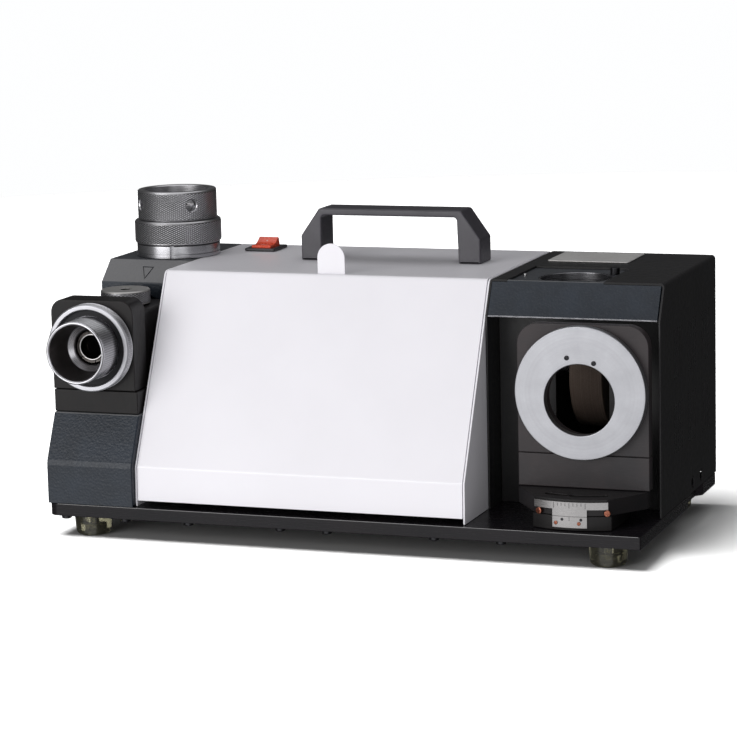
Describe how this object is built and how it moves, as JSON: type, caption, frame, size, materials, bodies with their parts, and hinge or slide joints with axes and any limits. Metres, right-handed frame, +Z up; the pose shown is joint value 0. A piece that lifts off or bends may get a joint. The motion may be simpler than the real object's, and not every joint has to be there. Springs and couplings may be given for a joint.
{
  "type": "drill bit sharpener",
  "caption": "Bench drill bit sharpener with a motor hood and carry handle, a collet chuck head on the left, and a swivelling ring station with a setting port on the right.",
  "frame": {"origin": "middle of the bounding box's footprint, on the plane the rubber feet stand on", "axes": "+X to the machine's right as seen from the front, +Y to its back, +Z up; the door and the station face -Y"},
  "size_m": [0.5, 0.2764, 0.2678],
  "materials": {
    "black_plate": "satin black plate with machined edges",
    "hammer_paint": "dark blue-grey hammer paint",
    "black_oxide": "blackened machined steel, satin",
    "black_sheet": "black textured powder coat",
    "white_paint": "smooth white powder coat, semi-gloss",
    "bright_steel": "turned bright steel",
    "knurled_steel": "knurled steel with bright chamfers",
    "aluminium": "satin turned aluminium",
    "cast_aluminium": "as cast",
    "silicon_steel": "stacked laminations",
    "black_plastic": "matt black moulding",
    "red_plastic": "glossy red-orange moulding",
    "rubber": "translucent olive-brown rubber",
    "abrasive": "brown abrasive grain on a steel body",
    "grey_label": "plain satin grey plate",
    "grey_plastic": "matt grey moulding"
  },
  "bodies": {
    "frame": {"base_plate": "black_plate", "head_casting": "hammer_paint", "bracket_foot": "black_oxide", "bracket_block": "black_oxide", "setting_sleeve": "bright_steel", "hood_left_plate": "white_paint", "hood_right_plate": "white_paint", "hood_shell": "white_paint", "door_pin": "bright_steel", "handle": "black_plastic", "switch_bezel": "black_plastic", "housing_shell": "black_sheet", "rear_panel": "black_sheet", "bay_back_wall": "black_sheet", "front_beam": "hammer_paint", "port_bush": "bright_steel", "label_plate": "grey_label", "fixed_sector": "black_oxide", "pivot_pin": "bright_steel", "pointer_plate": "aluminium", "motor_casing": "cast_aluminium", "stator": "silicon_steel", "end_shield_left": "cast_aluminium", "end_shield_right": "cast_aluminium", "bearing_left": "bright_steel", "bearing_right": "bright_steel", "run_capacitor": "grey_plastic", "terminal_block": "grey_plastic", "cable_gland": "black_plastic", "fuse_holder": "black_plastic", "collet_rack": "black_oxide", "foot_front_left": "rubber", "foot_front_right": "rubber", "foot_rear_left": "rubber", "foot_rear_right": "rubber", "spare_collet_1": "bright_steel", "spare_collet_2": "bright_steel", "spare_collet_3": "bright_steel"},
    "door": {"front_door": "white_paint"},
    "rocker": {"switch_rocker": "red_plastic"},
    "rotor": {"motor_shaft": "bright_steel", "grinding_wheel": "abrasive", "thinning_wheel": "abrasive", "wheel_nut_right": "bright_steel", "wheel_nut_left": "bright_steel", "cooling_fan": "grey_plastic"},
    "station": {"swivel_sector": "black_oxide", "scale_band": "aluminium", "station_foot": "black_oxide", "station_plate": "black_oxide", "cam_ring": "aluminium"},
    "clamp": {"clamp_wheel": "knurled_steel"},
    "left_chuck": {"left_chuck_body": "bright_steel", "left_chuck_collet": "bright_steel"},
    "left_ring": {"left_chuck_ring": "knurled_steel"},
    "top_chuck": {"top_chuck_body": "bright_steel", "top_chuck_lower_ring": "knurled_steel", "top_chuck_collet": "bright_steel"},
    "top_ring": {"top_chuck_upper_ring": "knurled_steel"},
    "lock_screw": {"port_screw": "bright_steel"}
  },
  "joints": [
    {"name": "door_hinge", "type": "hinge", "parent": "frame", "child": "door", "pos_m": [-0.033, -0.11395, 0.0375], "axis": [1, 0, 0], "range_deg": [0, 90]},
    {"name": "rocker_rock", "type": "hinge", "parent": "frame", "child": "rocker", "pos_m": [-0.138, 0.09125, 0.2119], "axis": [1, 0, 0], "range_deg": [-32, 0]},
    {"name": "rotor_spin", "type": "hinge", "parent": "frame", "child": "rotor", "pos_m": [-0.015, 0.02625, 0.1295], "axis": [1, 0, 0], "continuous": true},
    {"name": "station_swivel", "type": "hinge", "parent": "frame", "child": "station", "pos_m": [0.1918, -0.04175, 0.0525], "axis": [0, 0, 1], "range_deg": [-17, 8]},
    {"name": "clamp_wheel_turn", "type": "hinge", "parent": "frame", "child": "clamp", "pos_m": [-0.21, -0.04375, 0.1875], "axis": [0, 0, 1], "continuous": true},
    {"name": "left_chuck_slide", "type": "slide", "parent": "frame", "child": "left_chuck", "axis": [0, -1, 0], "range_m": [0, 0.03]},
    {"name": "left_ring_turn", "type": "hinge", "parent": "left_chuck", "child": "left_ring", "pos_m": [-0.213, -0.10875, 0.1555], "axis": [0, -1, 0], "range_deg": [-60, 300]},
    {"name": "top_chuck_lift", "type": "slide", "parent": "frame", "child": "top_chuck", "axis": [0, 0, 1], "range_m": [0, 0.03]},
    {"name": "top_ring_turn", "type": "hinge", "parent": "top_chuck", "child": "top_ring", "pos_m": [-0.202, 0.05025, 0.2555], "axis": [0, 0, 1], "range_deg": [-60, 300]},
    {"name": "lock_screw_turn", "type": "hinge", "parent": "frame", "child": "lock_screw", "pos_m": [0.1952, 0.01025, 0.2095], "axis": [0, 0, 1], "continuous": true}
  ]
}
